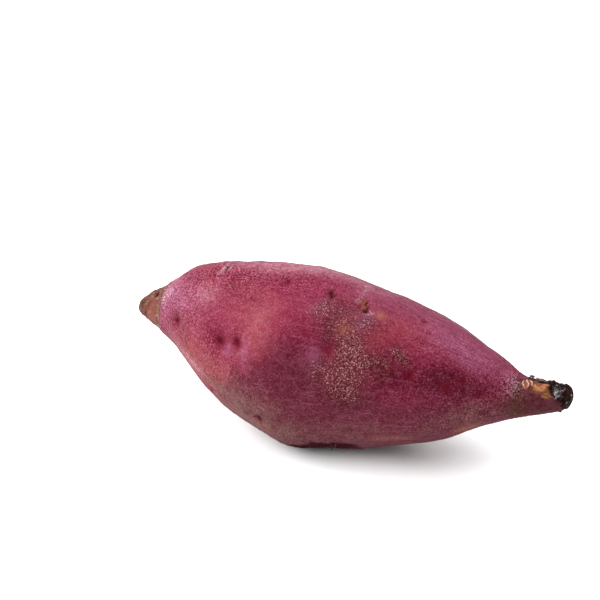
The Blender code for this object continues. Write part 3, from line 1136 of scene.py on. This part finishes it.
bump = add_node(tree, "ShaderNodeBump", {"Height": scale_noise, "Distance": 0.25 * MM, "Strength": 0.8})
tree.links.new(bump, shader.inputs["Normal"])
add_piece("burnt_tail", crust_mesh, char)

# The torn skin
# Slivers of skin at the stalk side of the torn patch, lifted and curled as the flesh under them
# shrank: cream-pink inside, and singed to a dark curl along the patch's upper edge.

# Each sliver runs from its first place to its last: distance and angle of both, how high its middle
# and its far end stand, half width and half thickness in millimetres.
CREAM_SLIVERS = (
    ((152.3, 88), (153.7, 121), 0.30, 0.10, 0.26, 0.09),
    ((153.5, 84), (155.1, 117), 0.44, 0.16, 0.28, 0.09),
    ((154.8, 86), (156.6, 112), 0.34, 0.24, 0.26, 0.09),
    ((151.6, 98), (152.5, 112), 0.20, 0.06, 0.20, 0.08),
    ((155.8, 76), (159.8, 72), 0.75, 0.45, 0.34, 0.18),
)
SINGED_SLIVERS = (
    ((153.5, 82), (155.3, 64), 0.95, 0.85, 0.50, 0.34),
    ((154.7, 62), (155.6, 86), 0.75, 0.35, 0.42, 0.30),
    ((155.2, 79), (161.2, 80), 0.30, 0.20, 0.30, 0.22),
    ((155.6, 74), (157.2, 66), 0.60, 0.50, 0.30, 0.24),
)
SLIVER_ROWS = 28
SLIVER_COLUMNS = 14
SLIVER_WANDER = 0.25
SLIVER_SINK = 0.25
SLIVER_TILT = 0.6
SLIVER_RAGGED = 0.18


def unit(vectors):
    """Vectors, each divided by its own length."""
    return vectors / np.linalg.norm(vectors, axis=-1, keepdims=True)


def sliver(first, last, middle_height, end_height, half_width, half_thickness, seed):
    """A flat ellipse carried along a bowed path over the skin, narrowing to both ends.

    Its width follows the skin, tilts as it goes, and wanders a little to look torn.
    """
    t = np.linspace(0, 1, SLIVER_ROWS)
    wander = SLIVER_WANDER * np.sin(2 * np.pi * (1.3 * t + 0.37 * seed))
    path_along = first[0] + (last[0] - first[0]) * t + wander
    path_angle = np.radians(first[1] + (last[1] - first[1]) * t)
    lift = middle_height * np.sin(np.pi * t) ** 0.8 + end_height * t**3 - SLIVER_SINK
    path = placed(path_along, path_angle, main_radius(path_along, path_angle) + lift) / MM
    forward = unit(np.gradient(path, axis=0))
    outward = unit(path - placed(path_along, path_angle, 0 * path_along) / MM)
    tilt = SLIVER_TILT * np.sin(2.2 * t + seed)[:, None]
    side = unit(np.cross(outward, forward) * np.cos(tilt) + outward * np.sin(tilt))
    above = np.cross(forward, side)
    turn = full_turn(SLIVER_COLUMNS)[None, :, None]
    narrowing = np.sin(np.pi * (0.04 + 0.92 * t)) ** 0.6 * (1 + SLIVER_RAGGED * np.sin(17 * t + seed))
    across = half_width * np.cos(turn) * side[:, None]
    through = half_thickness * np.sin(turn) * above[:, None]
    points = path[:, None] + narrowing[:, None, None] * (across + through)
    return np.clip(points * MM, *solid_box)


# Dried cream-pink skin, seen from its inner side: matt and fibrous.
SLIVER_CREAM = "#ac8676"
SLIVER_ROSE = "#7c4a46"
SLIVER_FIBRE = 0.6

inner_skin, tree, shader, in_mm = start_material("dried_inner_skin")
fibre_noise = add_node(tree, "ShaderNodeTexNoise", {
    "Vector": in_mm,
    "Scale": 1 / SLIVER_FIBRE,
    "Detail": 3.0,
})
rose_share = add_node(tree, "ShaderNodeMapRange", {0: fibre_noise, 1: 0.48, 2: 0.60, 3: 0.0, 4: 0.8})
base = add_node(tree, "ShaderNodeMix", {0: rose_share, 6: SLIVER_CREAM, 7: SLIVER_ROSE}, 2, data_type="RGBA")
tree.links.new(base, shader.inputs["Base Color"])
shader.inputs["Roughness"].default_value = 0.7
bump = add_node(tree, "ShaderNodeBump", {"Height": fibre_noise, "Distance": 0.1 * MM, "Strength": 0.8})
tree.links.new(bump, shader.inputs["Normal"])

cream_tubes = [sliver(*row, seed) for seed, row in enumerate(CREAM_SLIVERS)]
add_piece("torn_skin", tubes_mesh("torn_skin", cream_tubes), inner_skin)
singed_tubes = [sliver(*row, seed) for seed, row in enumerate(SINGED_SLIVERS, len(CREAM_SLIVERS))]
singed_mesh = tubes_mesh("singed_curls", singed_tubes)
for name, amount in (("crack", 0.0), ("glossy", 0.6)):
    values = np.full(len(singed_mesh.vertices), amount)
    singed_mesh.attributes.new(name, "FLOAT", "POINT").data.foreach_set("value", values)
add_piece("singed_curls", singed_mesh, char)

# The rootlets
# Hair-fine side roots that grew from the eyes, broken short at harvest and dried to dark threads.

# Each: distance and angle of its eye, length, half thickness, how far it leans towards the tail and
# how far round the root, in millimetres. The last is a knob on the crust.
ROOTLETS = (
    (88.3, 231, 2.2, 0.32, 0.8, -0.5),
    (90.4, 229, 1.3, 0.24, -0.5, 0.4),
    (65.2, 203, 1.0, 0.20, 0.6, 0.4),
    (94.6, 98, 0.8, 0.26, 0.5, 0.3),
    (104.2, 258, 1.8, 0.26, 0.7, 0.6),
    (71.9, 308, 1.6, 0.24, -0.6, 0.5),
    (60.4, 358, 1.5, 0.26, 0.7, 0.5),
    (99.8, 2, 1.2, 0.22, -0.4, -0.6),
    (163.4, 209, 0.45, 0.50, 0.2, 0.1),
)
ROOTLET_ROWS = 12
ROOTLET_COLUMNS = 10
ROOTLET_DEPTH = 0.8
ROOTLET_TIP_DEPTH = 0.2
ROOTLET_THINNING = (1.15, 0.4)


def rootlet(place, turn, length, half_thickness, lean_along, lean_round):
    """A thin round root carried along a bent path that stands on the skin, thinning to its broken end."""
    t = np.linspace(0, 1, ROOTLET_ROWS)
    path_along = place + lean_along * t**2
    path_angle = np.radians(turn) + lean_round * t**2 / plain_radius(place)
    height = -ROOTLET_DEPTH + (length + ROOTLET_DEPTH - ROOTLET_TIP_DEPTH) * t
    path = placed(path_along, path_angle, main_radius(path_along, path_angle) + height) / MM
    forward = unit(np.gradient(path, axis=0))
    side = unit(np.cross((0.3, 1.0, 0.2), forward))
    above = np.cross(forward, side)
    around = full_turn(ROOTLET_COLUMNS)[None, :, None]
    thick = (half_thickness * np.interp(t, (0, 1), ROOTLET_THINNING))[:, None, None]
    points = path[:, None] + thick * (np.cos(around) * side[:, None] + np.sin(around) * above[:, None])
    return np.clip(points * MM, *solid_box)


# Dried root bark: dark red-brown, matt and slightly ribbed.
ROOTLET_RED = "#3a1018"
RIB_SPACING = 0.4

bark, tree, shader, in_mm = start_material("dried_root_bark")
rib_noise = add_node(tree, "ShaderNodeTexNoise", {"Vector": in_mm, "Scale": 1 / RIB_SPACING, "Detail": 2.0})
rib_shade = add_node(tree, "ShaderNodeMapRange", {0: rib_noise, 1: 0.35, 2: 0.65, 3: 0.6, 4: 1.5})
base = add_node(tree, "ShaderNodeMix", {
    0: 1.0,
    6: ROOTLET_RED,
    7: rib_shade,
}, 2, data_type="RGBA", blend_type="MULTIPLY")
tree.links.new(base, shader.inputs["Base Color"])
shader.inputs["Roughness"].default_value = 0.6
bump = add_node(tree, "ShaderNodeBump", {"Height": rib_noise, "Distance": 0.08 * MM, "Strength": 0.8})
tree.links.new(bump, shader.inputs["Normal"])
add_piece("rootlets", tubes_mesh("rootlets", [rootlet(*row) for row in ROOTLETS]), bark)

# The floor
# A plain pale sheet, wide enough to fill the view behind the root.

FLOOR_SIDE = 6.0
FLOOR_WHITE = "#fafafa"
bpy.ops.mesh.primitive_plane_add(size=FLOOR_SIDE)
floor = bpy.context.object
floor.name = "floor"
paper = bpy.data.materials.new("matt_white_board")
paper.use_nodes = True
shader = paper.node_tree.nodes["Principled BSDF"]
shader.inputs["Base Color"].default_value = linear(FLOOR_WHITE)
shader.inputs["Roughness"].default_value = 0.9
floor.data.materials.append(paper)

# The lights
# Five soft boxes, most of the light from the left and from above, in pale air. Together they light the
# floor past white, as in the photograph, so that only the tight shadow by the root shows on it.

# Each white square soft box: its name, its place in metres, and its power in watts.
SOFT_BOXES = (
    ("overhead", (0.0, 0.02, 1.00), 5.0),
    ("left", (-0.85, 0.0, 0.55), 9.0),
    ("left_front", (-0.52, -0.70, 0.64), 12.6),
    ("right_front", (0.50, -0.35, 0.80), 4.6),
    ("behind", (0.0, 0.55, 0.85), 6.0),
)
SOFT_BOX_SIDE = 0.7
ROOT_MIDDLE = (0.0, 0.0, 0.03)
AIR_WHITE = "#ffffff"
AIR_STRENGTH = 0.30

for name, place, watts in SOFT_BOXES:
    lamp = bpy.data.lights.new(name, "AREA")
    lamp.size = SOFT_BOX_SIDE
    lamp.energy = watts
    holder = bpy.data.objects.new(name, lamp)
    bpy.context.scene.collection.objects.link(holder)
    from_aim = np.subtract(place, ROOT_MIDDLE)
    across = math.hypot(from_aim[0], from_aim[1])
    holder.location = place
    holder.rotation_euler = (math.atan2(across, from_aim[2]), 0, math.atan2(from_aim[0], -from_aim[1]))
world = bpy.data.worlds.new("pale_air")
world.use_nodes = True
background = world.node_tree.nodes["Background"]
background.inputs["Color"].default_value = linear(AIR_WHITE)
background.inputs["Strength"].default_value = AIR_STRENGTH
bpy.context.scene.world = world
bpy.context.scene.view_settings.view_transform = "Standard"

# The camera
# A long lens a short way off, from the tail's side and above, as the photograph was taken.

CAMERA_AZIMUTH = math.radians(24.3)
CAMERA_ELEVATION = math.radians(28.0)
CAMERA_DISTANCE = 0.812
CAMERA_LENS = 135.0
AIM_LEFT = 0.0158
AIM_UP = 0.0228

back = np.array([
    math.sin(CAMERA_AZIMUTH) * math.cos(CAMERA_ELEVATION),
    -math.cos(CAMERA_AZIMUTH) * math.cos(CAMERA_ELEVATION),
    math.sin(CAMERA_ELEVATION),
])
right = np.array([math.cos(CAMERA_AZIMUTH), math.sin(CAMERA_AZIMUTH), 0.0])
up = np.cross(back, right)
middle = np.mean(solid_box, axis=0)
camera_data = bpy.data.cameras.new("camera")
camera_data.lens = CAMERA_LENS
camera = bpy.data.objects.new("camera", camera_data)
bpy.context.scene.collection.objects.link(camera)
camera.location = middle - right * AIM_LEFT + up * AIM_UP + back * CAMERA_DISTANCE
camera.rotation_euler = (math.pi / 2 - CAMERA_ELEVATION, 0, CAMERA_AZIMUTH)
bpy.context.scene.camera = camera
